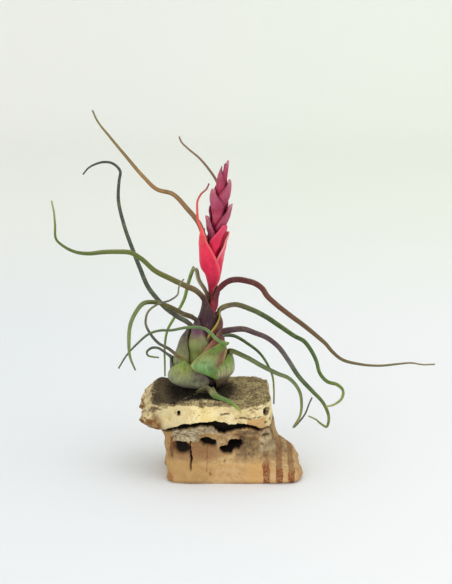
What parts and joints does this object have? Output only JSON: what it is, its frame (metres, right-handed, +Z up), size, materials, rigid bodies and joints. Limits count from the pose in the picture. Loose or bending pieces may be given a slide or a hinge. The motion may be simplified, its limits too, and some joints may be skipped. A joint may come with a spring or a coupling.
{
  "type": "air plant on cork bark",
  "caption": "Bulbous air plant in bloom with a swollen sheathed base, long twisting leaves and a red bracted spike, resting on a chunk of cork bark.",
  "frame": {"origin": "middle of the cork's flat underside", "axes": "+Z up, -Y to the viewer, +X to the viewer's right"},
  "size_m": [0.188, 0.0669, 0.1817],
  "materials": {
    "cork_bark": "rough natural bark",
    "leaves": "stands for living leaf tissue with a fine dull bloom",
    "maroon_leaves": "stands for living leaf tissue flushed maroon",
    "scape_bracts": "stands for coral red papery bracts",
    "floral_bracts": "stands for mauve crimson fleshy bracts",
    "flower_stalk": "stands for living stem tissue"
  },
  "bodies": {
    "root": {"cork_bark": "cork_bark", "stem": "flower_stalk", "floral_bract_01": "floral_bracts", "floral_bract_02": "floral_bracts", "floral_bract_03": "floral_bracts", "floral_bract_04": "floral_bracts", "floral_bract_05": "floral_bracts", "floral_bract_06": "floral_bracts", "floral_bract_07": "floral_bracts", "floral_bract_08": "floral_bracts", "scape_bract_front": "scape_bracts", "scape_bract_back": "scape_bracts", "scape_bract_left": "scape_bracts", "scape_bract_right": "scape_bracts", "scape_bract_tailed": "scape_bracts", "leaf_back_tall": "maroon_leaves", "leaf_back_short": "maroon_leaves", "leaf_right_long": "maroon_leaves", "leaf_back_hanging": "leaves", "leaf_left_long": "leaves", "leaf_right_arched": "leaves", "leaf_left_upright": "leaves", "leaf_left_hooked": "leaves", "leaf_right_back": "leaves", "leaf_right_folded": "maroon_leaves", "leaf_front_crossing": "leaves", "leaf_left_curl": "leaves", "leaf_right_low": "leaves", "leaf_front_curly": "leaves", "leaf_front_low": "leaves"}
  },
  "joints": []
}
